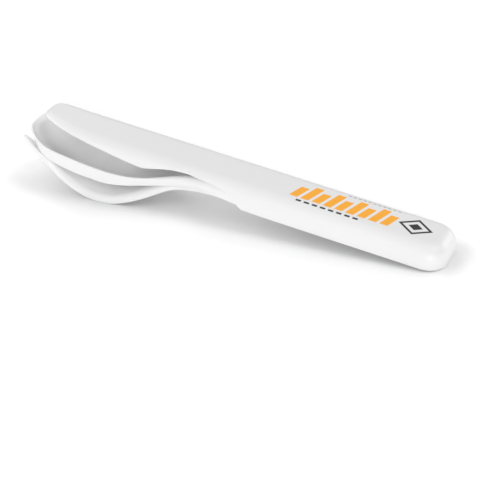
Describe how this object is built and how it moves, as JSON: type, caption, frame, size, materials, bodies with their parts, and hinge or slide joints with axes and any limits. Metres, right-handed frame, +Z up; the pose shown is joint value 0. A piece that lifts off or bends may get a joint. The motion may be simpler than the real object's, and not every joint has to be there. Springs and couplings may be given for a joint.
{
  "type": "plastic cutlery pack",
  "caption": "Nested plastic fork, spoon and knife, with channel handles that slide into one another and the knife as the cover.",
  "frame": {"origin": "centre of the bounding box, at its base, where the pack rests", "axes": "+Z up, +X from the tips towards the end of the handles, the cutting edge on the -Y side"},
  "size_m": [0.1928, 0.0346, 0.0307],
  "materials": {
    "knife": "semi-gloss",
    "spoon": "semi-gloss",
    "fork": "semi-gloss"
  },
  "bodies": {
    "root": {"knife": "knife", "spoon": "spoon", "fork": "fork"}
  },
  "joints": []
}
